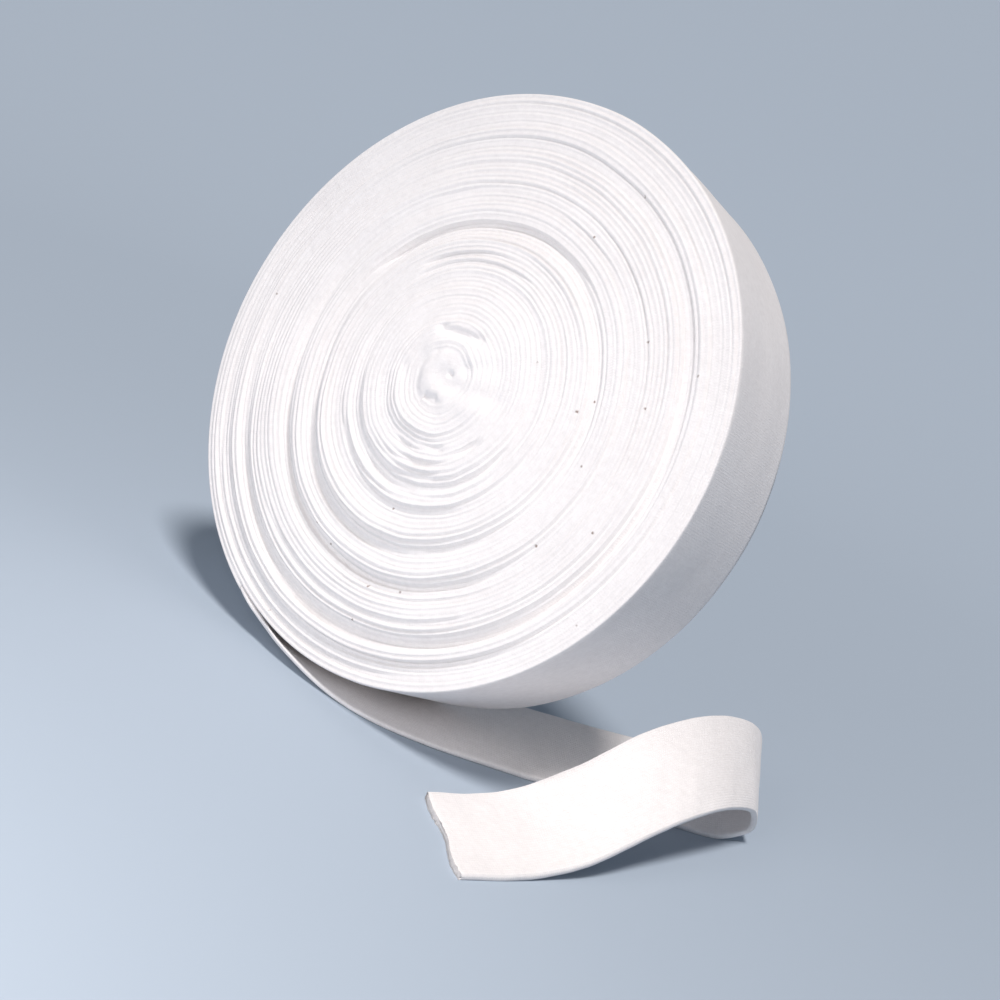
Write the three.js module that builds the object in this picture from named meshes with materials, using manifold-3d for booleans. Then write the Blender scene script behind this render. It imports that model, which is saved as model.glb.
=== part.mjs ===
// Casting tape roll: flattened knitted cotton tube wound on itself, standing on its own loose end.
// Millimetres, +Z up, the telescoped face looking toward -Y and leaning back.
// The origin is on the floor, under the roll and in the middle of the tape's width.
import * as THREE from "three";
import { mergeVertices } from "three/addons/utils/BufferGeometryUtils.js";
import Module from "manifold-3d";

const rollRadius = 120;
const tapeWidth = 50;
const tapeThickness = 2; // two layers of knit, pressed flat
const clearance = 0.3; // between the roll and the tape under it
const leanDegrees = 11; // the roll leans back this far from upright
const flatDepth = 5; // how far the back rim is pressed in where the roll rests
const peelDegrees = 20; // the outer turn leaves the barrel this far left of the lowest point
const sectors = 80;

// Front face, from the rim inwards. rise is how far a ring stands toward the front, wave is how much that
// changes round the ring, and toward is the direction of the highest part, in degrees from +X.
const frontRings = [
  { radius: 115, rise: 0.8, wave: 0.3, toward: 120 },
  { radius: 108, rise: 0.3, wave: 0.5, toward: 100 },
  { radius: 104, rise: 2.2, wave: 0.4, toward: 250 },
  { radius: 99, rise: -0.2, wave: 1.2, toward: 120 },
  { radius: 94, rise: 3.0, wave: 0.6, toward: 290 },
  { radius: 84, rise: 3.6, wave: 0.4, toward: 200 },
  { radius: 78, rise: 2.4, wave: 1.2, toward: 60 },
  { radius: 72, rise: 5.0, wave: 0.6, toward: 250 },
  { radius: 64, rise: 3.4, wave: 0.8, toward: 330 },
  { radius: 58, rise: 7.0, wave: 0.9, toward: 215 },
  { radius: 50, rise: 6.4, wave: 0.5, toward: 90 },
  { radius: 46, rise: 7.8, wave: 0.4, toward: 270 },
  { radius: 42, rise: 6.8, wave: 0.5, toward: 60 },
  { radius: 35, rise: 9.2, wave: 0.5, toward: 240 },
  { radius: 27, rise: 9.0, wave: 0.4, toward: 100 },
  { radius: 20, rise: 10.8, wave: 0.5, toward: 200 },
  { radius: 13, rise: 10.2, wave: 0.9, toward: 70 },
  { radius: 6, rise: 11.6, wave: 0.8, toward: 160 },
];
const frontCentreRise = 9.5;

// Back face, from the centre outwards: the turns keep their width, so it is hollow where the front stands out.
const backRings = [
  { radius: 8, rise: 10.6, wave: 0.5, toward: 160 },
  { radius: 20, rise: 10.0, wave: 0.5, toward: 200 },
  { radius: 35, rise: 8.6, wave: 0.5, toward: 240 },
  { radius: 50, rise: 6.8, wave: 0.5, toward: 90 },
  { radius: 64, rise: 5.0, wave: 0.6, toward: 250 },
  { radius: 80, rise: 3.4, wave: 0.5, toward: 60 },
  { radius: 95, rise: 1.8, wave: 0.5, toward: 290 },
  { radius: 108, rise: 1.0, wave: 0.3, toward: 120 },
  { radius: 115, rise: 0.6, wave: 0.2, toward: 120 },
];
const backCentreRise = 9.8;

// The innermost turns lie a little right of the roll's axis, and the outer ones round it.
const coreShift = new THREE.Vector2(5, 1);
const shiftPower = 1.5;

// The rim's soft edge, as insets from the barrel's outline and drops behind the face.
const rimSteps = [
  { inset: 1.6, drop: -0.4 },
  { inset: 0.4, drop: 0.8 },
  { inset: 0, drop: 2.4 },
];

// Loose end, from where it lies flat under the roll to the cut. x, y and z place the middle of the tape's
// thickness at the edge nearer the front; turn and lift point across the tape to its other edge, in degrees
// from +X and from level; curl is how far the front edge bends up out of that plane, in mm.
const tapeRows = [
  { x: -20, y: -23.5, z: 1, turn: 90, lift: 0, curl: 7.6 },
  { x: 0, y: -23.5, z: 1, turn: 92, lift: 0, curl: 3.6 },
  { x: 19, y: -21, z: 1, turn: 97, lift: 0, curl: 0.6 },
  { x: 38, y: -16, z: 1, turn: 109, lift: 0, curl: 0 },
  { x: 58, y: -3, z: 1, turn: 124, lift: 4, curl: 0 },
  { x: 82, y: 22, z: 1, turn: 136, lift: 8, curl: 0 },
  { x: 109, y: 51, z: 1, turn: 137, lift: 11, curl: 0 },
  { x: 129, y: 74, z: 1, turn: 132, lift: 14, curl: 0 },
  { x: 141.5, y: 91, z: 1.2, turn: 127, lift: 17, curl: 0 },
  { x: 147, y: 102, z: 6.5, turn: 125.5, lift: 19, curl: 0 },
  { x: 148, y: 95, z: 15.5, turn: 126, lift: 21, curl: 0 },
  { x: 148.5, y: 74, z: 21, turn: 129, lift: 24, curl: 0 },
  { x: 148, y: 48, z: 21.5, turn: 133.5, lift: 24, curl: 0 },
  { x: 146, y: 20, z: 16, turn: 138, lift: 20, curl: 0 },
  { x: 143, y: -7, z: 7, turn: 141, lift: 11, curl: 0 },
  { x: 138.5, y: -26, z: 2.4, turn: 144, lift: 4, curl: 0 },
  { x: 134, y: -44, z: 1.1, turn: 146, lift: 1, curl: 0 },
  { x: 128.5, y: -62, z: 1, turn: 146, lift: 0, curl: 0 },
];
const tapeStations = 84;
const curlReach = 0.4; // the share of the width that bends up with curl
const cutWave = 2.2; // how far the cut end is out of square

// Half of the tape's section: distance from the front edge and half thickness there.
const tapeSection = [
  { across: 0, half: 0.45 },
  { across: 1.2, half: 1 },
  { across: 10, half: 1 },
  { across: 20, half: 1 },
  { across: 30, half: 1 },
  { across: 48.8, half: 1 },
  { across: 50, half: 0.45 },
];

const clothColour = 0xf1f0ee;
const lean = THREE.MathUtils.degToRad(leanDegrees);
const peel = THREE.MathUtils.degToRad(peelDegrees);

// The roll is first drawn with its axis along Y and its back rim centred on the origin, then leaned back.
const backRimHeight = tapeThickness + clearance - flatDepth + rollRadius * Math.cos(lean);
const rollPlace = new THREE.Matrix4()
  .makeRotationX(-lean)
  .setPosition(0, tapeWidth / 2 + rollRadius * Math.sin(lean), backRimHeight);

// A point at an angle past the peel line, counting the way the tape runs, at a radius and a distance back.
function rollPoint(angle, radius, back) {
  const turned = angle - Math.PI / 2 - peel;
  return new THREE.Vector3(radius * Math.cos(turned), back, radius * Math.sin(turned));
}

// The barrel grows by one thickness in each turn, so its outline steps in at the peel line.
function outlineRadius(angle) {
  return rollRadius - tapeThickness + (tapeThickness * angle) / (2 * Math.PI);
}

function ringPoints(ring, front) {
  const points = [];
  const shift = 1 - Math.pow(ring.radius / rollRadius, shiftPower);
  for (let s = 0; s < sectors; s++) {
    const angle = (2 * Math.PI * s) / sectors;
    const point = rollPoint(angle, ring.radius, 0);
    const bearing = Math.atan2(point.z, point.x);
    const rise = ring.rise + ring.wave * Math.cos(bearing - THREE.MathUtils.degToRad(ring.toward));
    point.x += coreShift.x * shift;
    point.z += coreShift.y * shift;
    point.y = (front ? -tapeWidth : 0) - rise;
    points.push(point);
  }
  return points;
}

function rimPoints(step, front) {
  const points = [];
  for (let s = 0; s <= sectors; s++) {
    const angle = (2 * Math.PI * s) / sectors;
    const back = front ? -tapeWidth + step.drop : -step.drop;
    points.push(rollPoint(angle, outlineRadius(angle) - step.inset, back));
  }
  return points;
}

// Loops from the front centre, over the rim and to the back centre. The rim's loops are open at the peel line.
function woundRollGeometry() {
  const front = [...frontRings].reverse().map((ring) => ringPoints(ring, true));
  const rim = rimSteps.map((step) => rimPoints(step, true));
  const backRim = [...rimSteps].reverse().map((step) => rimPoints(step, false));
  const back = [...backRings].reverse().map((ring) => ringPoints(ring, false));
  const loops = [...front, ...rim, ...backRim, ...back];
  const starts = [];
  const positions = [];
  for (const loop of loops) {
    starts.push(positions.length / 3);
    for (const point of loop) positions.push(point.x, point.y, point.z);
  }
  const frontCentre = positions.length / 3;
  positions.push(coreShift.x, -tapeWidth - frontCentreRise, coreShift.y);
  const backCentre = positions.length / 3;
  positions.push(coreShift.x, -backCentreRise, coreShift.y);

  const faces = [];
  const at = (loop, s) => starts[loop] + (loops[loop].length > sectors ? s : s % sectors);
  for (let s = 0; s < sectors; s++) {
    faces.push(frontCentre, at(0, s), at(0, s + 1));
    faces.push(backCentre, at(loops.length - 1, s + 1), at(loops.length - 1, s));
    for (let k = 0; k + 1 < loops.length; k++) {
      faces.push(at(k, s), at(k + 1, s), at(k + 1, s + 1));
      faces.push(at(k, s), at(k + 1, s + 1), at(k, s + 1));
    }
  }
  // The end of the outer turn closes the step between the two ends of the rim's loops.
  for (let k = front.length - 1; k < front.length + rim.length + backRim.length; k++) {
    const [near, nearEnd] = [at(k, 0), at(k, sectors)];
    const [far, farEnd] = [at(k + 1, 0), at(k + 1, sectors)];
    if (far !== farEnd) faces.push(near, farEnd, far);
    if (near !== nearEnd) faces.push(near, nearEnd, farEnd);
  }
  const geometry = new THREE.BufferGeometry();
  geometry.setAttribute("position", new THREE.Float32BufferAttribute(positions, 3));
  geometry.setIndex(faces);
  return geometry;
}

const wasm = await Module();
wasm.setup();

function solidFrom(geometry) {
  const bare = geometry.clone();
  bare.deleteAttribute("normal");
  bare.deleteAttribute("uv");
  const merged = mergeVertices(bare, 1e-4);
  return new wasm.Manifold(
    new wasm.Mesh({
      numProp: 3,
      vertProperties: merged.attributes.position.array,
      triVerts: new Uint32Array(merged.index.array),
    }),
  );
}

function geometryFrom(solid) {
  const mesh = solid.getMesh();
  const geometry = new THREE.BufferGeometry();
  geometry.setAttribute("position", new THREE.BufferAttribute(mesh.vertProperties, mesh.numProp));
  geometry.setIndex(new THREE.BufferAttribute(mesh.triVerts, 1));
  return geometry.toNonIndexed();
}

// The roll is pressed flat where it stands on its tape.
function restingRollGeometry() {
  const leaned = woundRollGeometry().applyMatrix4(rollPlace);
  const pressDepth = 40;
  const press = new THREE.BoxGeometry(rollRadius, 2 * tapeWidth, pressDepth);
  press.translate(0, 0, tapeThickness + clearance - pressDepth / 2);
  return geometryFrom(solidFrom(leaned).subtract(solidFrom(press)));
}

// The first stretch of tape still lies on the barrel, so its edges are points of the roll.
function barrelEdges(degreesPastPeel, gap) {
  const angle = THREE.MathUtils.degToRad(degreesPastPeel);
  const radius = rollRadius - tapeThickness / 2 + gap;
  return [-tapeWidth, 0].map((back) => rollPoint(angle, radius, back).applyMatrix4(rollPlace));
}

function rowEdges(row) {
  const near = new THREE.Vector3(row.x, row.y, row.z);
  const turn = THREE.MathUtils.degToRad(row.turn);
  const lift = THREE.MathUtils.degToRad(row.lift);
  const across = new THREE.Vector3(
    Math.cos(lift) * Math.cos(turn),
    Math.cos(lift) * Math.sin(turn),
    Math.sin(lift),
  );
  return [near, near.clone().addScaledVector(across, tapeWidth)];
}

// Two rails carry the tape's edges, and a section is drawn between them at each station.
function looseEndGeometry() {
  const peelEdges = [barrelEdges(0.5, 0.4), barrelEdges(5, 0.7)];
  const edges = [...peelEdges, ...tapeRows.map(rowEdges)];
  const nearRail = new THREE.CatmullRomCurve3(edges.map((pair) => pair[0]));
  const farRail = new THREE.CatmullRomCurve3(edges.map((pair) => pair[1]));
  const curls = [0, 0, ...tapeRows.map((row) => row.curl)];
  const curlRail = new THREE.SplineCurve(curls.map((curl, i) => new THREE.Vector2(i, curl)));

  const sectionSize = 2 * tapeSection.length;
  const positions = [];
  for (let i = 0; i <= tapeStations; i++) {
    const share = i / tapeStations;
    const near = nearRail.getPoint(share);
    const across = farRail.getPoint(share).sub(near).normalize();
    const along = nearRail.getTangent(share).add(farRail.getTangent(share)).normalize();
    const normal = along.clone().cross(across).normalize();
    const curl = curlRail.getPoint(share).y;
    const upper = [];
    const lower = [];
    for (const { across: distance, half } of tapeSection) {
      const bend = Math.max(0, 1 - distance / (curlReach * tapeWidth));
      const middle = near.clone().addScaledVector(across, distance);
      middle.addScaledVector(normal, curl * bend * bend);
      if (i === tapeStations) {
        middle.addScaledVector(along, cutWave * Math.sin((3 * Math.PI * distance) / tapeWidth));
      }
      upper.push(middle.clone().addScaledVector(normal, half));
      lower.push(middle.clone().addScaledVector(normal, -half));
    }
    for (const point of [...upper, ...lower.reverse()]) {
      positions.push(point.x, point.y, Math.max(0, point.z));
    }
  }

  const faces = [];
  for (let i = 0; i < tapeStations; i++) {
    for (let k = 0; k < sectionSize; k++) {
      const next = (k + 1) % sectionSize;
      const [a, b] = [i * sectionSize + k, i * sectionSize + next];
      const [c, d] = [a + sectionSize, b + sectionSize];
      faces.push(a, c, b, b, c, d);
    }
  }
  const last = tapeStations * sectionSize;
  for (let k = 0; k + 1 < tapeSection.length; k++) {
    const [a, b] = [k, k + 1];
    const [c, d] = [sectionSize - 1 - k, sectionSize - 2 - k];
    faces.push(a, b, c, b, d, c);
    faces.push(last + a, last + c, last + b, last + b, last + c, last + d);
  }
  const geometry = new THREE.BufferGeometry();
  geometry.setAttribute("position", new THREE.Float32BufferAttribute(positions, 3));
  geometry.setIndex(faces);
  return geometry.toNonIndexed();
}

function clothMesh(name, geometry) {
  geometry.computeVertexNormals();
  const cloth = new THREE.MeshStandardMaterial({ color: clothColour, roughness: 0.95, metalness: 0 });
  const mesh = new THREE.Mesh(geometry, cloth);
  mesh.name = name;
  return mesh;
}

const castingTapeRoll = new THREE.Group();
castingTapeRoll.add(clothMesh("wound_roll", restingRollGeometry()));
castingTapeRoll.add(clothMesh("loose_end", looseEndGeometry()));

export default castingTapeRoll;
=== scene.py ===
import math

import bpy
import numpy as np
from mathutils import Matrix, Vector, noise


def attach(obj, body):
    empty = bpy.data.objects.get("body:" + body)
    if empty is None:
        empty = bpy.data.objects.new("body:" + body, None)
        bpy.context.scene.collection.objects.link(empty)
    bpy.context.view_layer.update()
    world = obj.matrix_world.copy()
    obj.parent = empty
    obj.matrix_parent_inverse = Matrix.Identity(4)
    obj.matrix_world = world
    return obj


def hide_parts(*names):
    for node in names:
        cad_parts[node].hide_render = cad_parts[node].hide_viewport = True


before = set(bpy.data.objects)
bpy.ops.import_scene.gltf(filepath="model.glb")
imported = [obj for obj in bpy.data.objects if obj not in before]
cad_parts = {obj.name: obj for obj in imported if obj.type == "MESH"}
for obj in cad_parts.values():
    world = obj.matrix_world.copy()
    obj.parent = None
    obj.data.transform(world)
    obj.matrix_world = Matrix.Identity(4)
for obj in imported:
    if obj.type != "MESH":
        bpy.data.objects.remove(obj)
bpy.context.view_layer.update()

mm = 0.001

camera = {
    "target": (43.4, 0, 95.6),
    "azimuth": 34.85,     # 0 looks along +Y and 90 along -X
    "elevation": 11.7,
    "tilt": 23.1,         # the picture is turned this much against level
    "distance": 500.5,
    "focalPixels": 1360,
    "imagePixels": 1000,
    "sensor": 36,
}

studio = {
    "keyTowards": (0.19, -0.27, 0.94),    # from the roll to the light
    "keyStrength": 2.6,
    "keySoftness": 14,                    # apparent width of the light
    "keyColour": (1.0, 0.955, 0.93),
    "panelPlace": (90, -410, 190),        # a soft panel in front, low, right of the middle
    "panelAim": (20, 0, 80),
    "panelSize": 280,
    "panelWatts": 1.0,
    "panelColour": (1.0, 0.955, 0.93),
    "airColour": (0.80, 0.89, 1.0),
    "airStrength": 0.125,
    "floorColour": (0.41, 0.475, 0.555),
    "floorFlat": 900,
    "floorReach": 7000,
    "floorBend": 1500,                    # length of the curve between flat and slope
    "floorSlope": 33,                     # far away the floor rises like a studio sweep
    "floorSegments": 96,
    "floorRings": 24,
}

roll = {
    "radius": 120,
    "tapeWidth": 50,
    "turn": 2,            # one turn of flattened tube
    "lean": 11,
    "flatDepth": 5,       # how far the back rim is pressed in
    "clearance": 0.3,
    "restHeight": 2.05,   # top of the tape under the roll
    "restSoftness": 0.5,
    "peel": 20,           # the outer turn leaves this far left of the lowest point
    "sectors": 240,
    "frontLines": 4,      # mesh lines to a turn
    "backLines": 2,
    "turns": 54,          # from the rim to the crumpled core
    "coreRings": 16,
    "barrelLines": 30,
    "edgeRound": 1.1,     # the barrel's edges are rounded over this width
    "turnSpread": 0.22,   # how far single turns stand out or back
    "ringShare": 0.72,    # relief of the rings against an even cone
    "coneTop": 10.8,      # that cone, flat in the middle and then falling outwards
    "coneStart": 12.3,
    "coneSlope": 0.1,
    "ringStep": 0.55,     # 0 runs straight from ring to ring, 1 steps in the middle of the way
    "turnRound": 0.3,     # crown of a turn's folded edge
    "turnGroove": 0.42,
    "calmRadius": 55,     # inside it the grooves grow shallow, down to this share
    "calmLeast": 0.3,
    "coreDepth": 10,      # of the back's middle
    "coreBlend": 3,       # rings over which the core takes its own height
    "creaseFull": 24,     # the creases of the tape's start fade out between these radii
    "creaseGone": 84,
    "knitOnCore": 0.08,   # the knit is stretched so far on the core that it hardly shows
    "wobble": 0.7,        # how far a turn strays from its even path
    "wobbleFrom": 8,      # mm in from the rim until a turn strays in full
    "swell": 0.5,         # slow unevenness of the face
    "barrelSwell": 0.3,
}

# Grain of the unevenness: waves round the roll, mm from one turn's wave to another's, and a seed.
grain = {
    "frontSwell": (1.6, 9, 3.1),
    "backSwell": (1.6, 9, 7.7),
    "barrelSwell": (3.5, 14, 2.6),
    "groove": (2.4, 4, 5.3),
    "slowStray": (1.8, 16, 1.9),
    "quickStray": (5.5, 7, 4.4),
    "frontTurns": ((2.3, 1.37), (8.1, 4.1)),    # from turn to turn: a seed and how fast it changes
    "backTurns": ((5.9, 1.53), (1.7, 3.7)),
    "grooveTurns": (11.3, 2.3),
    "quickTurnShare": 0.8,
    "quickStrayShare": 0.4,
    "grooveMean": 0.4,
    "grooveTurnShare": 0.9,
    "grooveRoundShare": 0.7,
    "grooveSpan": (0.05, 1.3),
}

# The front face from the rim inwards, as in the solid: how far a ring of turns stands out, how much that
# changes round the ring, and the direction of its highest part.
frontRings = [
    {"radius": 120, "rise": 0.4, "wave": 0.2, "toward": 120},
    {"radius": 115, "rise": 0.8, "wave": 0.3, "toward": 120},
    {"radius": 108, "rise": 0.3, "wave": 0.5, "toward": 100},
    {"radius": 104, "rise": 2.2, "wave": 0.4, "toward": 250},
    {"radius": 99, "rise": -0.2, "wave": 1.2, "toward": 120},
    {"radius": 94, "rise": 3.0, "wave": 0.6, "toward": 290},
    {"radius": 84, "rise": 3.6, "wave": 0.4, "toward": 200},
    {"radius": 78, "rise": 2.4, "wave": 1.2, "toward": 60},
    {"radius": 72, "rise": 5.0, "wave": 0.6, "toward": 250},
    {"radius": 64, "rise": 3.4, "wave": 0.8, "toward": 330},
    {"radius": 58, "rise": 7.0, "wave": 0.9, "toward": 215},
    {"radius": 50, "rise": 6.4, "wave": 0.5, "toward": 90},
    {"radius": 46, "rise": 7.8, "wave": 0.4, "toward": 270},
    {"radius": 42, "rise": 6.8, "wave": 0.5, "toward": 60},
    {"radius": 35, "rise": 9.2, "wave": 0.5, "toward": 240},
    {"radius": 27, "rise": 9.0, "wave": 0.4, "toward": 100},
    {"radius": 20, "rise": 10.8, "wave": 0.5, "toward": 200},
    {"radius": 13, "rise": 10.2, "wave": 0.9, "toward": 70},
    {"radius": 6, "rise": 11.4, "wave": 0.6, "toward": 160},
    {"radius": 0, "rise": 10.4, "wave": 0, "toward": 0},
]
backRings = [
    {"radius": 120, "rise": 0.4, "wave": 0, "toward": 0},
    {"radius": 108, "rise": 1.0, "wave": 0.3, "toward": 120},
    {"radius": 95, "rise": 1.8, "wave": 0.5, "toward": 290},
    {"radius": 80, "rise": 3.4, "wave": 0.5, "toward": 60},
    {"radius": 64, "rise": 5.0, "wave": 0.6, "toward": 250},
    {"radius": 50, "rise": 6.8, "wave": 0.5, "toward": 90},
    {"radius": 35, "rise": 8.6, "wave": 0.5, "toward": 240},
    {"radius": 20, "rise": 10.0, "wave": 0.5, "toward": 200},
    {"radius": 8, "rise": 10.6, "wave": 0.5, "toward": 160},
    {"radius": 0, "rise": 9.8, "wave": 0, "toward": 0},
]

# The inner turns don't lie round the roll's axis: how far right and up a turn of this radius is pushed.
turnShift = [
    {"radius": 0, "right": 5, "up": 1},
    {"radius": 35, "right": 5, "up": 0.5},
    {"radius": 50, "right": 5.5, "up": -1},
    {"radius": 64, "right": 5.2, "up": -1.6},
    {"radius": 80, "right": 3.8, "up": -1.4},
    {"radius": 102, "right": 1.4, "up": -0.8},
    {"radius": 120, "right": 0, "up": 0},
]

# Turns that stand back (depth) or out (a depth below zero) over part of the way round.
faceArcs = [
    {"start": -205, "end": -20, "radius": 77.5, "toRadius": 77, "width": 0.9, "depth": 1.7},
    {"start": -188, "end": -66, "radius": 63, "toRadius": 64.5, "width": 0.9, "depth": 1.8},
    {"start": -68, "end": -10, "radius": 64, "toRadius": 62, "width": 0.8, "depth": 0.8},
    {"start": -12, "end": 60, "radius": 63, "toRadius": 65, "width": 0.8, "depth": 0.6},
    {"start": 50, "end": 160, "radius": 64.6, "toRadius": 67, "width": 1.1, "depth": 2.0},
    {"start": -118, "end": 28, "radius": 101.4, "toRadius": 98.5, "width": 0.9, "depth": 1.8},
    {"start": -150, "end": 2, "radius": 47, "toRadius": 44.5, "width": 0.8, "depth": 1.4},
    {"start": -120, "end": -8, "radius": 43.3, "toRadius": 41, "width": 0.7, "depth": 1.1},
    {"start": -112, "end": -55, "radius": 39, "toRadius": 36.5, "width": 0.7, "depth": 0.9},
    {"start": -108, "end": -20, "radius": 34.7, "toRadius": 31, "width": 0.8, "depth": 1.5},
    {"start": -108, "end": -52, "radius": 30, "toRadius": 27, "width": 0.7, "depth": 0.9},
    {"start": -130, "end": -40, "radius": 91.5, "toRadius": 91, "width": 0.7, "depth": 0.9},
    {"start": -70, "end": 0, "radius": 94.5, "toRadius": 93, "width": 0.7, "depth": 0.8},
    {"start": -100, "end": -30, "radius": 84, "toRadius": 82.5, "width": 0.7, "depth": 0.7},
    {"start": -70, "end": 15, "radius": 72.5, "toRadius": 72, "width": 0.7, "depth": 0.7},
    {"start": -110, "end": -35, "radius": 108, "toRadius": 107, "width": 0.7, "depth": 0.9},
    {"start": -150, "end": -60, "radius": 113, "toRadius": 113, "width": 0.7, "depth": 0.8},
    {"start": 78, "end": 140, "radius": 53, "toRadius": 52, "width": 0.8, "depth": 1.0},
    {"start": 70, "end": 145, "radius": 48, "toRadius": 48.5, "width": 0.7, "depth": 0.7},
    {"start": 80, "end": 130, "radius": 78.5, "toRadius": 80, "width": 0.7, "depth": 0.7},
    {"start": 70, "end": 130, "radius": 89, "toRadius": 90, "width": 0.7, "depth": 0.6},
    {"start": 80, "end": 175, "radius": 107, "toRadius": 106, "width": 0.7, "depth": 0.6},
    {"start": 135, "end": 205, "radius": 94, "toRadius": 93, "width": 0.7, "depth": 0.8},
    {"start": 150, "end": 225, "radius": 112, "toRadius": 111, "width": 0.8, "depth": 0.9},
    {"start": 160, "end": 230, "radius": 102, "toRadius": 101, "width": 0.7, "depth": 0.8},
    {"start": -165, "end": -74, "radius": 57, "toRadius": 59, "width": 3.2, "depth": -0.9},
]

# The crumpled start of the tape: soft troughs (depth) and ridges (a depth below zero) drawn on the face.
coreCreases = [
    {"x": -6, "z": 17, "toX": 12, "toZ": 19.5, "width": 2.0, "depth": 1.5},
    {"x": -6, "z": 10, "toX": 13, "toZ": 14, "width": 4.5, "depth": -0.4},
    {"x": 8, "z": 3.2, "toX": 8.3, "toZ": 3.1, "width": 1.1, "depth": 1.2},
    {"x": 2, "z": -8.2, "toX": 6.8, "toZ": -7.4, "width": 1.2, "depth": 1.1},
    {"x": -2.5, "z": 9, "toX": 0.5, "toZ": -5, "width": 2.2, "depth": 0.3},
    {"x": 11, "z": -1, "toX": 32, "toZ": 2.8, "width": 3.4, "depth": 0.5},
    {"x": 10, "z": -6, "toX": 28, "toZ": -5, "width": 4.2, "depth": -0.4},
    {"x": -14, "z": -2, "toX": -6, "toZ": -14, "width": 2.6, "depth": 0.6},
    {"x": 14, "z": 8, "toX": 24, "toZ": 13, "width": 2.8, "depth": 0.5},
]


# The roll is drawn with its axis along Y and its back rim centred on the origin, then leaned back.
leanAngle = math.radians(roll["lean"])
backRimHeight = roll["turn"] + roll["clearance"] - roll["flatDepth"] + roll["radius"] * math.cos(leanAngle)
rollForward = roll["tapeWidth"] / 2 + roll["radius"] * math.sin(leanAngle)


def leaned(points):
    x, y, z = points[:, 0], points[:, 1], points[:, 2]
    c, s = math.cos(leanAngle), math.sin(leanAngle)
    return np.stack([x, y * c + z * s + rollForward, z * c - y * s + backRimHeight], axis=1)


def pressed(points):
    # The rim is squeezed softly against the tape that it stands on.
    soft = roll["restSoftness"]
    above = (points[:, 2] - roll["restHeight"]) / soft
    points[:, 2] = roll["restHeight"] + soft * np.logaddexp(0, above)
    return points


def rows(table, key, at):
    ordered = sorted(table, key=lambda row: row["radius"])
    return np.interp(at, [row["radius"] for row in ordered], [key(row) for row in ordered])


# The height of a ring of turns, which steps to the next one in the middle of the way between them.
def ringRise(table, radius, bearing):
    ordered = sorted(table, key=lambda row: row["radius"])
    places = np.array([row["radius"] for row in ordered], float)
    lower = np.clip(np.searchsorted(places, radius, side="right") - 1, 0, len(places) - 2)
    share = np.clip((radius - places[lower]) / (places[lower + 1] - places[lower]), 0, 1)
    soft = share ** 3 * (10 - 15 * share + 6 * share * share)
    share = (1 - roll["ringStep"]) * share + roll["ringStep"] * soft

    def height(row):
        rise = row["rise"] + row["wave"] * np.cos(bearing - math.radians(row["toward"]))
        cone = min(roll["coneTop"], roll["coneStart"] - roll["coneSlope"] * row["radius"])
        return cone + (rise - cone) * roll["ringShare"]

    ringHeights = np.array([height(row) for row in ordered])
    if ringHeights.ndim == 1:
        return ringHeights[lower] * (1 - share) + ringHeights[lower + 1] * share
    below = np.take_along_axis(ringHeights, lower[None], axis=0)[0]
    above = np.take_along_axis(ringHeights, (lower + 1)[None], axis=0)[0]
    return below * (1 - share) + above * share


def arcRise(radius, bearing):
    rise = np.zeros_like(radius)
    fade = 0.18    # share of an arc over which it starts and ends
    for arc in faceArcs:
        span = arc["end"] - arc["start"]
        past = np.mod(np.degrees(bearing) - arc["start"], 360) / span
        middle = arc["radius"] + (arc["toRadius"] - arc["radius"]) * past
        ends = np.clip(np.minimum(past, 1 - past) / fade, 0, 1)
        rise -= arc["depth"] * ends * ends * (3 - 2 * ends) * np.exp(-((radius - middle) / arc["width"]) ** 2)
    return rise


def creaseRise(x, z):
    rise = np.zeros_like(x)
    for crease in coreCreases:
        dx, dz = crease["toX"] - crease["x"], crease["toZ"] - crease["z"]
        share = ((x - crease["x"]) * dx + (z - crease["z"]) * dz) / (dx * dx + dz * dz)
        share = np.clip(share, 0, 1)
        away = np.hypot(x - crease["x"] - share * dx, z - crease["z"] - share * dz)
        rise -= crease["depth"] * np.exp(-(away / crease["width"]) ** 2)
    return rise


def shifted(radius, bearing):
    x = radius * np.cos(bearing) + rows(turnShift, lambda row: row["right"], radius)
    z = radius * np.sin(bearing) + rows(turnShift, lambda row: row["up"], radius)
    return x, z


def noiseAt(east, north, far):
    values = [noise.noise(Vector(place)) for place in zip(east.ravel(), north.ravel(), far.ravel())]
    return np.array(values).reshape(east.shape)


# Unevenness from turn to turn.
def turnNoise(turnNumber, seed, often):
    flat = np.ones_like(turnNumber)
    return noiseAt(turnNumber * often, flat * seed, flat * 0.37)


# Soft unevenness that runs on smoothly round the roll.
def aroundNoise(radius, bearing, rounds, reach, seed):
    far = np.broadcast_to(radius / reach + seed, bearing.shape)
    return noiseAt(np.cos(bearing) * rounds, np.sin(bearing) * rounds, far)


# The way round from the peel line: how far the tape has turned, its bearing, and the outer turn's radius.
def wayRound():
    angle = 2 * math.pi * np.arange(roll["sectors"] + 1) / roll["sectors"]
    bearing = angle - math.pi / 2 - math.radians(roll["peel"])
    return angle, bearing, roll["radius"] - roll["turn"] + roll["turn"] * angle / (2 * math.pi)


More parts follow.
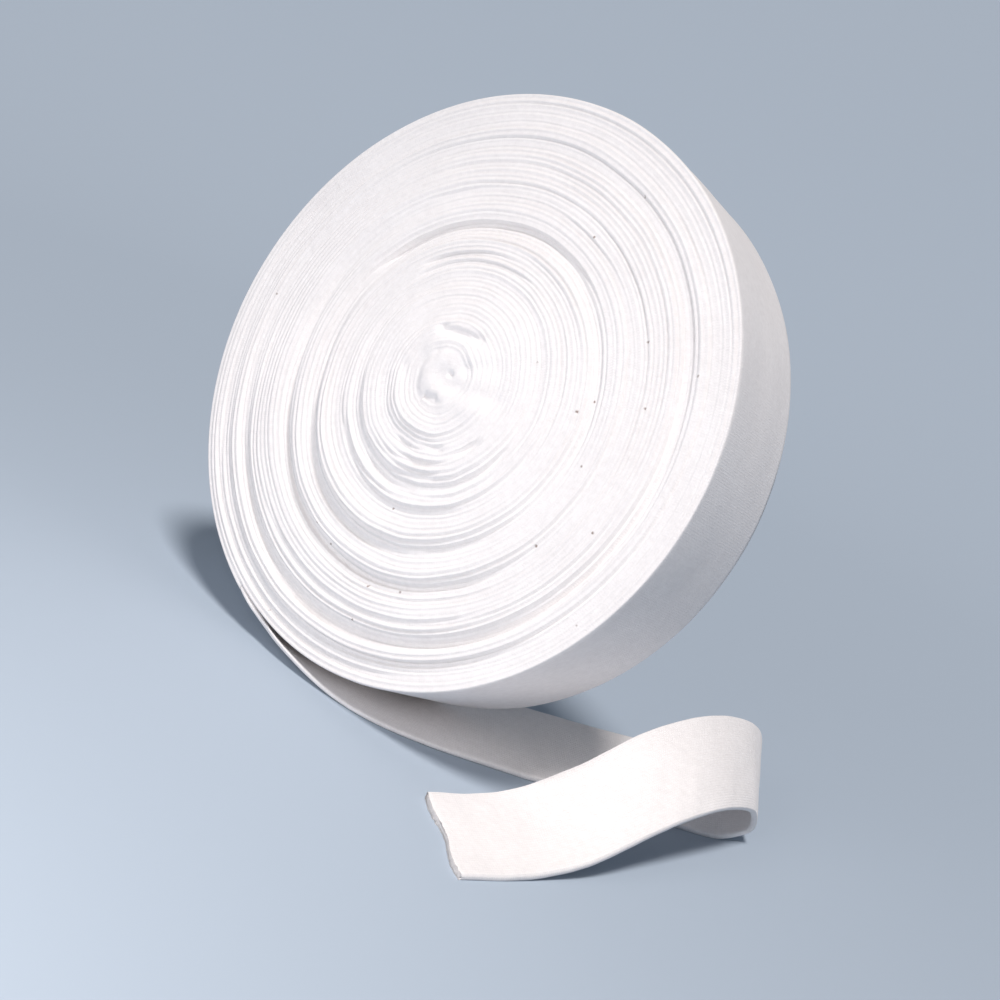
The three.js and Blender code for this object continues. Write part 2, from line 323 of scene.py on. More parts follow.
# One face of the roll as a spiral of turns, line by line from the rim.
def spiralFace(lines, front):
    turns, column = roll["turns"], np.arange(roll["sectors"] + 1) / roll["sectors"]
    bearing = wayRound()[1]
    inner = roll["radius"] - roll["turn"]

    # How far each turn stands out, column by column.
    turnNumber = np.arange(-1, turns + 1)[:, None] - column[None, :]
    middle = inner - roll["turn"] * (turnNumber + 0.5)
    around = np.broadcast_to(bearing, middle.shape)
    if front:
        top = ringRise(frontRings, middle, around) + arcRise(middle, around)
    else:
        top = -ringRise(backRings, middle, around)
    slow, quick = [turnNoise(turnNumber, *pair) for pair in grain["frontTurns" if front else "backTurns"]]
    top += roll["turnSpread"] * (slow + grain["quickTurnShare"] * quick)
    top += roll["swell"] * aroundNoise(middle, around, *grain["frontSwell" if front else "backSwell"])
    uneven = grain["grooveTurnShare"] * turnNoise(turnNumber, *grain["grooveTurns"])
    uneven += grain["grooveRoundShare"] * aroundNoise(middle, around, *grain["groove"])
    groove = roll["turnGroove"] * np.clip(grain["grooveMean"] + uneven, *grain["grooveSpan"])
    groove *= np.clip(middle / roll["calmRadius"], roll["calmLeast"], 1)

    points = []
    count = turns * lines
    for j in range(count + 1):
        turn, part = divmod(j, lines)
        radius = inner + roll["turn"] * (column - j / lines)
        stray = aroundNoise(radius, bearing, *grain["slowStray"])
        stray += grain["quickStrayShare"] * aroundNoise(radius, bearing, *grain["quickStray"])
        stray *= roll["wobble"] * np.clip((inner - radius) / roll["wobbleFrom"], 0, 1)
        x, z = shifted(radius + stray, bearing)
        if part:
            across = 2 * part / lines - 1
            height = top[turn + 1] - roll["turnRound"] * (1 - math.sqrt(1 - across * across))
        else:
            height = np.minimum(top[turn], top[turn + 1]) - 0.4 * roll["turnRound"] - groove[turn + 1]
        if front:
            fade = (roll["creaseGone"] - radius) / (roll["creaseGone"] - roll["creaseFull"])
            height = height + creaseRise(x, z) * np.clip(fade, 0, 1)
        y = -roll["tapeWidth"] - height if front else height
        points.append(np.stack([x, y, z], axis=1))
    return np.array(points)


def faceGrid(points, lines, start):
    # Column by column; the last column runs on into the first, one turn further out.
    rowsCount, columns = points.shape[0], points.shape[1] - 1
    index = np.zeros((rowsCount, columns + 1), int)
    index[:, :columns] = start + np.arange(rowsCount * columns).reshape(rowsCount, columns)
    index[lines:, columns] = index[:rowsCount - lines, 0]
    extras = start + rowsCount * columns + np.arange(lines)
    index[:lines, columns] = extras
    flat = np.concatenate([points[:, :columns].reshape(-1, 3), points[:lines, columns]])
    return index, flat


# Cloth coordinates at the four corners of each quad: u runs along the tape and v across it.
def cornerMap(u0, u1, v0, v1):
    shape = np.broadcast(u0, v0).shape
    corners = [(u0, v0), (u0, v1), (u1, v1), (u1, v0)]
    return np.stack([np.stack([np.broadcast_to(u, shape), np.broadcast_to(v, shape)], axis=-1)
                     for u, v in corners], axis=-2).reshape(-1, 4, 2)


def fourCorners(a, b, c, d):
    return np.stack([a.ravel(), b.ravel(), c.ravel(), d.ravel()], axis=1)


def buildRoll():
    sectors, width, turn = roll["sectors"], roll["tapeWidth"], roll["turn"]
    angle, bearing, outline = wayRound()
    allPoints, quads, quadMap, caps = [], [], [], []
    total = 0

    def addQuads(corners, mapping, turned=False):
        # Both faces are laid out alike, so the front's corners are taken the other way round.
        order = [0, 3, 2, 1] if turned else [0, 1, 2, 3]
        quads.append(corners[:, order])
        quadMap.append(mapping[:, order])

    def addPoints(points):
        nonlocal total
        allPoints.append(points)
        total += len(points)
        return total - len(points) + np.arange(len(points))

    grids = []
    for lines, front in ((roll["frontLines"], True), (roll["backLines"], False)):
        points = spiralFace(lines, front)
        # The outermost line becomes the rounded edge of the outer turn.
        edgeInset, edgeDrop = 0.14, 0.5
        points[0, :, 0] = (outline - edgeInset) * np.cos(bearing)
        points[0, :, 2] = (outline - edgeInset) * np.sin(bearing)
        points[0, :, 1] = points[1, :, 1] + (edgeDrop if front else -edgeDrop)
        index, flat = faceGrid(points, lines, total)
        addPoints(flat)
        count = points.shape[0] - 1
        middle = outline[None, :-1] - turn * (np.arange(count) // lines + 0.5)[:, None]
        u0, u1 = middle * angle[None, :-1], middle * angle[None, 1:]
        v0 = np.broadcast_to((turn * np.arange(count) / lines)[:, None], u0.shape)
        corners = fourCorners(index[:-1, :-1], index[1:, :-1], index[1:, 1:], index[:-1, 1:])
        addQuads(corners, cornerMap(u0, u1, v0, v0 + turn / lines), front)
        grids.append(index)

        # The core closes the hole inside the last turn.
        rings = [np.concatenate([index[-1, :-1], index[-1 - lines:-1, 0]])]
        ringPoints = [np.concatenate([points[-1, :-1], points[-1 - lines:-1, 0]])]
        centre = np.array([turnShift[0]["right"], 0.0, turnShift[0]["up"]])
        size = len(rings[0])
        for m in range(1, roll["coreRings"]):
            place = centre + (ringPoints[0] - centre) * (1 - m / roll["coreRings"])
            if front:
                right, up = place[:, 0] - centre[0], place[:, 2] - centre[2]
                height = ringRise(frontRings, np.hypot(right, up), np.arctan2(up, right))
                level = -width - (height + creaseRise(place[:, 0], place[:, 2]))
            else:
                level = np.full(size, -float(roll["coreDepth"]))
            blend = min(1, m / roll["coreBlend"])
            place[:, 1] = ringPoints[0][:, 1] * (1 - blend) + level * blend
            rings.append(addPoints(place))
            ringPoints.append(place)
        for m in range(len(rings) - 1):
            pair = [ringPoints[m], ringPoints[m + 1]]
            pair += [np.roll(points, -1, axis=0) for points in reversed(pair)]
            mapping = np.stack([points[:, [0, 2]] * roll["knitOnCore"] for points in pair], axis=1)
            inner, outer = rings[m + 1], rings[m]
            addQuads(fourCorners(outer, inner, np.roll(inner, -1), np.roll(outer, -1)), mapping, front)
        middlePoint = centre.copy()
        middlePoint[1] = ringPoints[-1][:, 1].mean()
        middleIndex = int(addPoints(middlePoint[None, :])[0])
        for first, second in zip(rings[-1].tolist(), np.roll(rings[-1], -1).tolist()):
            caps.append([middleIndex, first, second] if front else [middleIndex, second, first])

    # The barrel, from the front rim to the back one.
    inset = roll["edgeRound"]
    backs = -width + inset + (width - 2 * inset) * np.arange(roll["barrelLines"]) / (roll["barrelLines"] - 1)
    barrel = []
    for back in backs:
        swell = aroundNoise(np.full_like(bearing, back), bearing, *grain["barrelSwell"])
        radius = outline + roll["barrelSwell"] * swell
        ring = [radius * np.cos(bearing), np.full_like(radius, back), radius * np.sin(bearing)]
        barrel.append(addPoints(np.stack(ring, axis=1)))
    frontGrid, backGrid = grids
    loops = [frontGrid[0], *barrel, backGrid[0]]
    lip = 0.4    # the faces' first lines lie this far from the rims
    depths = [-width + lip, *backs, -lip]
    u0, u1 = roll["radius"] * angle[:-1], roll["radius"] * angle[1:]
    for k in range(len(loops) - 1):
        v0, v1 = np.full(sectors, depths[k]), np.full(sectors, depths[k + 1])
        near, far = loops[k], loops[k + 1]
        addQuads(fourCorners(near[:-1], far[:-1], far[1:], near[1:]), cornerMap(u0, u1, v0, v1))

    # The end of the outer turn closes the step at the peel line.
    for near, far in zip(barrel[:-1], barrel[1:]):
        caps.append([int(near[0]), int(near[-1]), int(far[-1]), int(far[0])])
    frontStep = frontGrid[:roll["frontLines"] + 1, -1].tolist()
    backStep = backGrid[:roll["backLines"] + 1, -1].tolist()
    caps.append([int(barrel[0][0]), *reversed(frontStep), int(barrel[0][-1])])
    caps.append([int(barrel[-1][-1]), *backStep, int(barrel[-1][0])])

    points = pressed(leaned(np.concatenate(allPoints)))
    return points, np.concatenate(quads), np.concatenate(quadMap), caps


def makeMesh(name, points, quads, quadMap, caps):
    mesh = bpy.data.meshes.new(name)
    faces = quads.tolist() + caps
    mesh.from_pydata((points * mm).tolist(), [], faces)
    layer = mesh.uv_layers.new(name="clothMap")
    capCorners = [corner for cap in caps for corner in cap]
    capMap = points[capCorners][:, [0, 2]] * roll["knitOnCore"]
    corners = np.concatenate([quadMap.reshape(-1, 2), capMap]).astype(np.float32)
    layer.data.foreach_set("uv", corners.ravel())
    mesh.polygons.foreach_set("use_smooth", [True] * len(mesh.polygons))
    mesh.validate()
    mesh.update()
    piece = bpy.data.objects.new(name, mesh)
    bpy.context.scene.collection.objects.link(piece)
    return piece


tape = {
    "stations": 400,
    "freeHalf": 1.35,     # half thickness where nothing presses on it
    "freeFrom": 95,       # mm along the tape
    "freeBy": 150,
    "wave": 0.6,          # small waves of the cloth, where nothing presses on it
    "slowWave": (26, 19, 0.7),    # mm along the tape, mm across it, and a seed
    "quickWave": (8, 30, 4),
    "quickShare": 0.35,
    "ragged": 0.7,        # unevenness of the cut
    "thread": 1.7,        # and its grain
    "cutWave": 0.9,
    "cutReach": 12,       # mm before the cut where its unevenness starts
    "mouthDepth": 1.6,    # the cut end opens a little between its two layers
    "mouthOpen": 0.3,     # half thickness in the mouth against that of the tape
    "curlReach": 0.4,     # share of the width that bends up
    "curveSteps": 60,
    "edgeSteps": 5,
    "flatSteps": 30,
    "thickness": 2,
}

# The loose end leaves the roll at the peel line: how far past it, and how far out from the turn it leaves.
tapeStart = [
    {"degrees": -3, "gap": -0.7},
    {"degrees": 0.3, "gap": 0.05},
    {"degrees": 5, "gap": 0.55},
]

# Then it runs to the cut, in the solid's own rows: the edge nearer the front, the direction across the tape
# to its other edge, and how far the front edge bends up out of that plane.
tapeRows = [
    {"x": -20, "y": -23.5, "z": 1, "turn": 90, "lift": 0, "curl": 7.6},
    {"x": 0, "y": -23.5, "z": 1, "turn": 92, "lift": 0, "curl": 3.6},
    {"x": 19, "y": -21, "z": 1, "turn": 97, "lift": 0, "curl": 0.6},
    {"x": 38, "y": -16, "z": 1, "turn": 109, "lift": 0, "curl": 0},
    {"x": 58, "y": -3, "z": 1, "turn": 124, "lift": 4, "curl": 0},
    {"x": 82, "y": 22, "z": 1, "turn": 136, "lift": 8, "curl": 0},
    {"x": 109, "y": 51, "z": 1, "turn": 137, "lift": 11, "curl": 0},
    {"x": 129, "y": 74, "z": 1, "turn": 132, "lift": 14, "curl": 0},
    {"x": 141.5, "y": 91, "z": 1.2, "turn": 127, "lift": 17, "curl": 0},
    {"x": 147, "y": 102, "z": 6.5, "turn": 125.5, "lift": 19, "curl": 0},
    {"x": 148, "y": 95, "z": 15.5, "turn": 126, "lift": 21, "curl": 0},
    {"x": 148.5, "y": 74, "z": 21, "turn": 129, "lift": 24, "curl": 0},
    {"x": 148, "y": 48, "z": 21.5, "turn": 133.5, "lift": 24, "curl": 0},
    {"x": 146, "y": 20, "z": 16, "turn": 138, "lift": 20, "curl": 0},
    {"x": 143, "y": -7, "z": 7, "turn": 141, "lift": 11, "curl": 0},
    {"x": 138.5, "y": -26, "z": 2.4, "turn": 144, "lift": 4, "curl": 0},
    {"x": 134, "y": -44, "z": 1.1, "turn": 146, "lift": 1, "curl": 0},
    {"x": 128.5, "y": -62, "z": 1, "turn": 146, "lift": 0, "curl": 0},
]


# A smooth curve through points that are unevenly spaced, as fine steps in order.
def smoothThrough(points, steps):
    points = [np.array(point, float) for point in points]
    ends = [2 * points[0] - points[1], *points, 2 * points[-1] - points[-2]]
    path = []
    for i in range(len(points) - 1):
        p0, p1, p2, p3 = ends[i:i + 4]
        gaps = [max(np.linalg.norm(b[:3] - a[:3]) ** 0.5, 1e-6) for a, b in ((p0, p1), (p1, p2), (p2, p3))]
        t1 = ((p1 - p0) / gaps[0] - (p2 - p0) / (gaps[0] + gaps[1]) + (p2 - p1) / gaps[1]) * gaps[1]
        t2 = ((p2 - p1) / gaps[1] - (p3 - p1) / (gaps[1] + gaps[2]) + (p3 - p2) / gaps[2]) * gaps[1]
        for k in range(steps):
            t = k / steps
            square = 3 * (p2 - p1) - 2 * t1 - t2
            cube = 2 * (p1 - p2) + t1 + t2
            path.append(p1 + t1 * t + square * t * t + cube * t ** 3)
    path.append(points[-1])
    return np.array(path)


def barrelPair(degrees, gap):
    turnedBy = math.radians(degrees) - math.pi / 2 - math.radians(roll["peel"])
    radius = roll["radius"] - roll["turn"] / 2 + gap
    x, z = radius * math.cos(turnedBy), radius * math.sin(turnedBy)
    return leaned(np.array([[x, -roll["tapeWidth"], z], [x, 0, z]], float))


def tapeRails():
    near, far, curl = [], [], []
    for start in tapeStart:
        pair = barrelPair(start["degrees"], start["gap"])
        near.append(pair[0])
        far.append(pair[1])
        curl.append(0)
    for row in tapeRows:
        turn, lift = math.radians(row["turn"]), math.radians(row["lift"])
        across = np.array([math.cos(lift) * math.cos(turn), math.cos(lift) * math.sin(turn), math.sin(lift)])
        edge = np.array([row["x"], row["y"], row["z"]], float)
        near.append(edge)
        far.append(edge + across * roll["tapeWidth"])
        curl.append(row["curl"])
    joined = smoothThrough([np.append(point, bend) for point, bend in zip(near, curl)], tape["curveSteps"])
    return joined[:, :3], smoothThrough(far, tape["curveSteps"]), joined[:, 3]


def evenly(near, far, curl, stations):
    middle = 0.5 * (near + far)
    length = np.concatenate([[0], np.cumsum(np.linalg.norm(np.diff(middle, axis=0), axis=1))])
    wanted = np.linspace(0, length[-1], stations + 1)

    def pick(values):
        return np.stack([np.interp(wanted, length, values[:, k]) for k in range(3)], axis=1)

    return pick(near), pick(far), np.interp(wanted, length, curl), wanted


# The outline of the tape's section, upper half and lower half: distance from the near edge, and height.
def tapeSection():
    width, half = roll["tapeWidth"], tape["thickness"] / 2
    angles = [math.pi / 2 * k / tape["edgeSteps"] for k in range(1, tape["edgeSteps"])]
    edge = [(half - half * math.cos(angle), half * math.sin(angle)) for angle in angles]
    flat = [(half + (width - 2 * half) * k / tape["flatSteps"], half) for k in range(tape["flatSteps"] + 1)]
    upper = edge + flat + [(width - d, h) for d, h in reversed(edge)]
    ring = [(0.0, 0.0)] + upper + [(float(width), 0.0)] + [(d, -h) for d, h in reversed(upper)]
    return np.array(ring)


def unit(vectors):
    return vectors / np.linalg.norm(vectors, axis=1)[:, None]


def tapeWave(run, side):
    def wave(along, across, seed):
        return noise.noise(Vector((run / along, side / across, seed)))

    return wave(*tape["slowWave"]) + tape["quickShare"] * wave(*tape["quickWave"])


def buildTape():
    near, far, curl, length = evenly(*tapeRails(), tape["stations"])
    across = unit(far - near)
    alongWay = unit(np.gradient(0.5 * (near + far), axis=0))
    normal = unit(np.cross(alongWay, across))
    section = tapeSection()
    distance, offset = section[:, 0], section[:, 1]
    free = np.clip((length - tape["freeFrom"]) / (tape["freeBy"] - tape["freeFrom"]), 0, 1)
    swollen = 1 + (2 * tape["freeHalf"] / tape["thickness"] - 1) * free * free * (3 - 2 * free)
    wave = np.array([[tapeWave(run, side) for side in distance] for run in length])
    wave *= (tape["wave"] * free)[:, None]
    bend = np.clip(1 - distance / (tape["curlReach"] * roll["tapeWidth"]), 0, 1) ** 2
    height = offset[None, :] * swollen[:, None] + wave + curl[:, None] * bend[None, :]
    points = near[:, None, :] + across[:, None, :] * distance[None, :, None]
    points = points + normal[:, None, :] * height[:, :, None]

    # The uneven cut, and its mouth: one more ring, drawn back and almost closed, so that both layers show.
    cut = tape["cutWave"] * np.sin(3 * math.pi * distance / roll["tapeWidth"])
    threads = [noise.noise(Vector((side / tape["thread"], np.sign(up) * 2, 9.1))) for side, up in section]
    cut += tape["ragged"] * np.array(threads)
    fade = np.clip(1 - (length[-1] - length) / tape["cutReach"], 0, 1)
    points += alongWay[:, None, :] * (fade[:, None] * cut[None, :])[:, :, None]
    drawnBack = near[-1] + across[-1] * distance[:, None] + alongWay[-1] * (cut[:, None] - tape["mouthDepth"])
    mouth = drawnBack + normal[-1] * (offset * tape["mouthOpen"])[:, None]
    points = np.concatenate([points, mouth[None]])
    girthLength = np.append(length, length[-1] + tape["mouthDepth"])
    points[:, :, 2] = np.maximum(points[:, :, 2], 0)

    stations, size = points.shape[:2]
    index = np.arange(stations * size).reshape(stations, size)
    after = np.roll(index, -1, axis=1)
    quads = fourCorners(index[:-1], index[1:], after[1:], after[:-1])
    steps = np.linalg.norm(np.roll(section, -1, axis=0) - section, axis=1)
    girth = np.concatenate([[0], np.cumsum(steps)])
    u0, u1 = girthLength[:-1, None], girthLength[1:, None]
    mapping = cornerMap(u0, u1, girth[None, :-1], girth[None, 1:])[:, [0, 3, 2, 1]]
    caps = [index[0].tolist(), index[-1].tolist()[::-1]]
    return points.reshape(-1, 3), quads, mapping, caps, length[-1]


# Brown seed flecks in the cotton: on the face, right and up from its middle, and on the barrel, the bearing
# and the distance behind the front rim.
faceFlecks = [
    (39, 93), (30, 72), (72, 46), (62, 13), (74, -3), (84, 25), (90, -21), (73, -35), (-18, -72), (-8, -76),
    (31, -76), (18, -95), (17, -81), (-22, -112), (98, -68), (101, -51), (81, -95), (-101, -2), (38, 22),
    (95, 43), (12, -51), (65, 19),
]
barrelFlecks = [(-8, 24), (-88, 21)]

cotton = {
    "pale": (0.91, 0.878, 0.872),
    "dull": (0.79, 0.755, 0.75),
    "fleck": (0.16, 0.09, 0.06),
    "fleckSize": 0.7,       # mm from its middle to its edge
    "fleckDepthShare": 0.1,
    "faceRise": 4,          # mean rise of the face, where the flecks lie
    "walePitch": 1.3,       # ribs of knit across the tape
    "coursePitch": 1.0,     # rows of knit along it
    "stray": 0.35,          # how far the ribs wander
    "courseStray": 0.7,     # and the rows, against them
    "ribRound": 0.6,        # how round a rib's section is
    "legShare": 0.35,       # relief of the slanting legs against the rib
    "knitRelief": 0.34,     # mm
    "fuzzRelief": 0.42,
    "reliefShare": 0.6,
    "strayGrain": 180,      # grains are waves to a metre
    "cloudGrain": 30,
    "mottleGrain": 420,
    "fuzzGrain": 1300,
    "fleckGrain": 1500,
    "cloudShade": 0.45,     # how much each of them dulls the white
    "mottleShade": 0.75,
    # painted shade: the white dulls in the grooves between the stitches, where the knit's relief is low
    "stitchPaintedShade": 0.35,
    "shadeSpan": (0.25, 0.85),
    "fleckShare": 0.85,
    "roughSpan": (0.88, 1.0),
    "sheen": 0.08,
    "sheenRoughness": 0.5,
    "shine": 0.12,
}


def mathNode(nodes, links, kind, first, second=None):
    node = nodes.new("ShaderNodeMath")
    node.operation = kind
    for socket, value in zip(node.inputs, (first, second)):
        if value is None:
            continue
        if hasattr(value, "is_linked"):
            links.new(value, socket)
        else:
            socket.default_value = value
    return node.outputs[0]


def spanNode(nodes, links, value, source, goal=(0, 1)):
    node = nodes.new("ShaderNodeMapRange")
    node.inputs["From Min"].default_value, node.inputs["From Max"].default_value = source
    node.inputs["To Min"].default_value, node.inputs["To Max"].default_value = goal
    links.new(value, node.inputs["Value"])
    return node.outputs["Result"]


def noiseNode(nodes, links, place, scale, detail, roughness=0.5):
    node = nodes.new("ShaderNodeTexNoise")
    node.inputs["Scale"].default_value = scale
    node.inputs["Detail"].default_value = detail
    node.inputs["Roughness"].default_value = roughness
    links.new(place, node.inputs["Vector"])
    return node.outputs["Fac"]


# Rows of V stitches from the cloth's own map: ribs along the tape, each with two slanting legs.
def stitches(nodes, links, place):
    sheetMap = nodes.new("ShaderNodeUVMap")
    sheetMap.uv_map = "clothMap"
    split = nodes.new("ShaderNodeSeparateXYZ")
    links.new(sheetMap.outputs["UV"], split.inputs["Vector"])
    stray = mathNode(nodes, links, "SUBTRACT", noiseNode(nodes, links, place, cotton["strayGrain"], 2), 0.5)
    stray = mathNode(nodes, links, "MULTIPLY", stray, 2 * cotton["stray"])
    across = mathNode(nodes, links, "ADD", split.outputs["Y"], stray)
    across = mathNode(nodes, links, "FRACT", mathNode(nodes, links, "DIVIDE", across, cotton["walePitch"]))
    away = mathNode(nodes, links, "ABSOLUTE", mathNode(nodes, links, "SUBTRACT", across, 0.5))
    rowStray = mathNode(nodes, links, "MULTIPLY", stray, cotton["courseStray"])
    along = mathNode(nodes, links, "ADD", split.outputs["X"], rowStray)
    along = mathNode(nodes, links, "DIVIDE", along, cotton["coursePitch"])
    turn = mathNode(nodes, links, "MULTIPLY", mathNode(nodes, links, "ADD", along, away), 2 * math.pi)
    leg = mathNode(nodes, links, "MULTIPLY", mathNode(nodes, links, "SINE", turn), cotton["legShare"])
    crown = mathNode(nodes, links, "SUBTRACT", 1.0, mathNode(nodes, links, "MULTIPLY", away, 2.0))
    crown = mathNode(nodes, links, "POWER", crown, cotton["ribRound"])
    ribAndLeg = mathNode(nodes, links, "ADD", leg, 1 - cotton["legShare"])
    return mathNode(nodes, links, "MULTIPLY", crown, ribAndLeg)


def nearestFleck(nodes, links, place):
    # Places are turned back into the roll's own frame. On the uneven face, depth hardly counts.
    moved = nodes.new("ShaderNodeVectorMath")
    moved.operation = "SUBTRACT"
    links.new(place, moved.inputs[0])
    moved.inputs[1].default_value = (0, rollForward * mm, backRimHeight * mm)
    upright = nodes.new("ShaderNodeVectorRotate")
    upright.rotation_type = "X_AXIS"
    upright.inputs["Angle"].default_value = leanAngle
    links.new(moved.outputs["Vector"], upright.inputs["Vector"])
    flat = nodes.new("ShaderNodeVectorMath")
    flat.operation = "MULTIPLY"
    links.new(upright.outputs["Vector"], flat.inputs[0])
    flat.inputs[1].default_value = (1, cotton["fleckDepthShare"], 1)
    nearest = None
    faceDepth = -(roll["tapeWidth"] + cotton["faceRise"]) * cotton["fleckDepthShare"]
    spots = [(flat, (x, faceDepth, z)) for x, z in faceFlecks]
    for bearing, behind in barrelFlecks:
        turn = math.radians(bearing)
        spots.append((upright, (roll["radius"] * math.cos(turn), behind - roll["tapeWidth"],
                                roll["radius"] * math.sin(turn))))
    for source, spot in spots:
        gap = nodes.new("ShaderNodeVectorMath")
        gap.operation = "DISTANCE"
        links.new(source.outputs["Vector"], gap.inputs[0])
        gap.inputs[1].default_value = tuple(value * mm for value in spot)
        distance = gap.outputs["Value"]
        nearest = distance if nearest is None else mathNode(nodes, links, "MINIMUM", nearest, distance)
    return nearest


def colourMix(nodes, links, share, first, second):
    mix = nodes.new("ShaderNodeMix")
    mix.data_type = "RGBA"
    links.new(share, mix.inputs["Factor"])
    for socket, colour in ((mix.inputs["A"], first), (mix.inputs["B"], second)):
        if hasattr(colour, "is_linked"):
            links.new(colour, socket)
        else:
            socket.default_value = (*colour, 1)
    return mix.outputs["Result"]


def knitCotton(name, flecks, knitShare):
    material = bpy.data.materials.new(name)
    material.use_nodes = True
    nodes, links = material.node_tree.nodes, material.node_tree.links
    shader = nodes["Principled BSDF"]
    shader.inputs["Sheen Weight"].default_value = cotton["sheen"]
    shader.inputs["Sheen Roughness"].default_value = cotton["sheenRoughness"]
    shader.inputs["Specular IOR Level"].default_value = cotton["shine"]
    place = nodes.new("ShaderNodeTexCoord").outputs["Object"]

    def scaled(value, share):
        return mathNode(nodes, links, "MULTIPLY", value, share)

    # Colour: slow cloudiness, small mottling, painted shade in the grooves between the stitches, and the
    # flecks.
    knit = stitches(nodes, links, place)
    clouds = noiseNode(nodes, links, place, cotton["cloudGrain"], 3)
    mottle = noiseNode(nodes, links, place, cotton["mottleGrain"], 4, 0.65)
    shade = mathNode(nodes, links, "ADD", scaled(clouds, cotton["cloudShade"]),
                     scaled(mottle, cotton["mottleShade"]))
    # Painted shade: the colour dulls where the knit's relief is low, in the grooves between the stitches.
    shade = mathNode(nodes, links, "SUBTRACT", shade, scaled(knit, cotton["stitchPaintedShade"] * knitShare))
    dullToneAndPaintedShade = spanNode(nodes, links, shade, cotton["shadeSpan"])
    colour = colourMix(nodes, links, dullToneAndPaintedShade, cotton["pale"], cotton["dull"])
    if flecks:
        size = cotton["fleckSize"] * mm
        ragged = scaled(noiseNode(nodes, links, place, cotton["fleckGrain"], 2), 0.8 * size)
        away = mathNode(nodes, links, "ADD", nearestFleck(nodes, links, place), ragged)
        spot = spanNode(nodes, links, away, (0.6 * size, 1.4 * size), (cotton["fleckShare"], 0))
        colour = colourMix(nodes, links, spot, colour, cotton["fleck"])
    links.new(colour, shader.inputs["Base Color"])
    links.new(spanNode(nodes, links, mottle, (0, 1), cotton["roughSpan"]), shader.inputs["Roughness"])

    # Relief: the stitches, and a finer fuzz over them.
    fuzz = noiseNode(nodes, links, place, cotton["fuzzGrain"], 4, 0.7)
    height = mathNode(nodes, links, "ADD", scaled(knit, cotton["knitRelief"] * knitShare),
                      scaled(fuzz, cotton["fuzzRelief"]))
    bump = nodes.new("ShaderNodeBump")
    bump.inputs["Strength"].default_value = cotton["reliefShare"]
    bump.inputs["Distance"].default_value = mm
    links.new(height, bump.inputs["Height"])
    links.new(bump.outputs["Normal"], shader.inputs["Normal"])
    return material


def addFloor():
    flat, reach, bend = studio["floorFlat"], studio["floorReach"], studio["floorBend"]
    segments, rings = studio["floorSegments"], studio["floorRings"]
    slope = math.tan(math.radians(studio["floorSlope"]))
    radii = [0, flat * 0.5, flat] + [flat + (reach - flat) * (k / rings) ** 1.5 for k in range(1, rings + 1)]
    points, faces = [(0, 0, 0)], []
    for radius in radii[1:]:
        over = max(0, radius - flat)
        height = slope * (over * over / (2 * bend) if over < bend else over - bend / 2)
        for s in range(segments):
            turn = 2 * math.pi * s / segments
            points.append((radius * mm * math.cos(turn), radius * mm * math.sin(turn), height * mm))
    for s in range(segments):
        faces.append([0, 1 + s, 1 + (s + 1) % segments])
    for k in range(len(radii) - 2):
        for s in range(segments):
            a, b = 1 + k * segments + s, 1 + k * segments + (s + 1) % segments
            faces.append([a, a + segments, b + segments, b])
    mesh = bpy.data.meshes.new("paleFloor")
    mesh.from_pydata(points, [], faces)
    mesh.polygons.foreach_set("use_smooth", [True] * len(mesh.polygons))
    floor = bpy.data.objects.new("paleFloor", mesh)
    bpy.context.scene.collection.objects.link(floor)
    paint = bpy.data.materials.new("paleFloorPaint")
    paint.use_nodes = True
    shader = paint.node_tree.nodes["Principled BSDF"]
    shader.inputs["Base Color"].default_value = (*studio["floorColour"], 1)
    shader.inputs["Roughness"].default_value = 1.0
    shader.inputs["Specular IOR Level"].default_value = 0.0
    mesh.materials.append(paint)


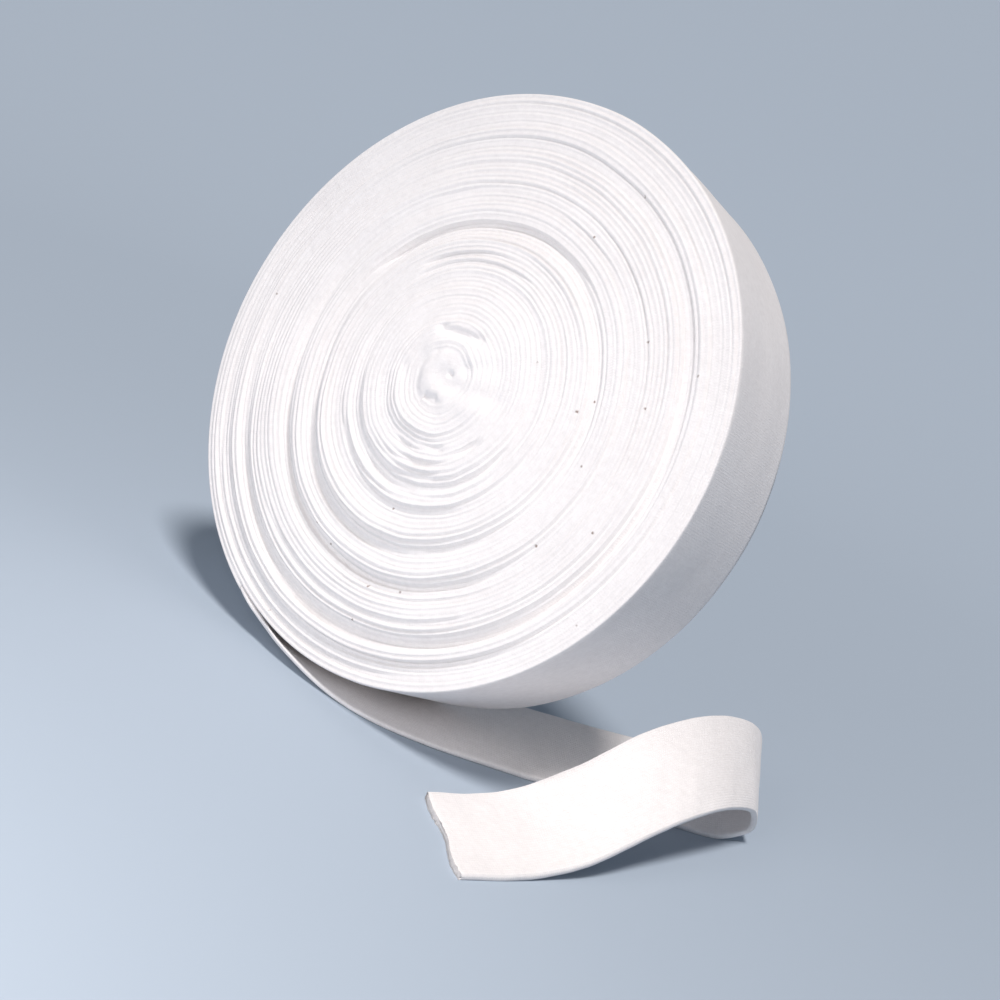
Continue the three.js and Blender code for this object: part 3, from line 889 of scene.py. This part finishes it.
def addLights():
    lamp = bpy.data.lights.new("keyLight", "SUN")
    lamp.energy = studio["keyStrength"]
    lamp.angle = math.radians(studio["keySoftness"])
    lamp.color = studio["keyColour"]
    key = bpy.data.objects.new("keyLight", lamp)
    key.rotation_mode = "QUATERNION"
    key.rotation_quaternion = Vector(studio["keyTowards"]).to_track_quat("Z", "Y")
    bpy.context.scene.collection.objects.link(key)
    soft = bpy.data.lights.new("frontPanel", "AREA")
    soft.energy = studio["panelWatts"]
    soft.size = studio["panelSize"] * mm
    soft.color = studio["panelColour"]
    panel = bpy.data.objects.new("frontPanel", soft)
    place, aim = Vector(studio["panelPlace"]), Vector(studio["panelAim"])
    panel.location = place * mm
    panel.rotation_mode = "QUATERNION"
    panel.rotation_quaternion = (place - aim).to_track_quat("Z", "Y")
    panel.visible_camera = False
    bpy.context.scene.collection.objects.link(panel)
    world = bpy.data.worlds.new("studioAir")
    world.use_nodes = True
    air = world.node_tree.nodes["Background"]
    air.inputs["Color"].default_value = (*studio["airColour"], 1)
    air.inputs["Strength"].default_value = studio["airStrength"]
    bpy.context.scene.world = world


def addCamera():
    azimuth, elevation = math.radians(camera["azimuth"]), math.radians(camera["elevation"])
    tilt = math.radians(camera["tilt"])
    back = Vector((math.sin(azimuth) * math.cos(elevation), -math.cos(azimuth) * math.cos(elevation),
                   math.sin(elevation)))
    level = Vector((math.cos(azimuth), math.sin(azimuth), 0))
    upright = back.cross(level)
    right = level * math.cos(tilt) + upright * math.sin(tilt)
    up = upright * math.cos(tilt) - level * math.sin(tilt)
    place = (Vector(camera["target"]) + back * camera["distance"]) * mm
    data = bpy.data.cameras.new("photoCamera")
    data.sensor_width = camera["sensor"]
    data.lens = camera["focalPixels"] * camera["sensor"] / camera["imagePixels"]
    data.clip_start, data.clip_end = 0.01, 100
    eye = bpy.data.objects.new("photoCamera", data)
    axes = Matrix((right, up, back)).transposed().to_4x4()
    eye.matrix_world = Matrix.Translation(place) @ axes
    bpy.context.scene.collection.objects.link(eye)
    bpy.context.scene.camera = eye


addCamera()
addLights()
addFloor()
bpy.context.scene.view_settings.view_transform = "Standard"
print("studio ready")

woundTurns = makeMesh("woundTurns", *buildRoll())
woundTurns.data.materials.append(knitCotton("knitRoll", True, 0.4))
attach(woundTurns, "root")
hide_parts("wound_roll")
print("roll wound,", len(woundTurns.data.polygons), "faces")

*tapeParts, tapeLength = buildTape()
loopedEnd = makeMesh("loopedEnd", *tapeParts)
loopedEnd.data.materials.append(knitCotton("knitTape", False, 0.7))
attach(loopedEnd, "root")
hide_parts("loose_end")
print("loose end laid, mm long:", round(tapeLength, 1))
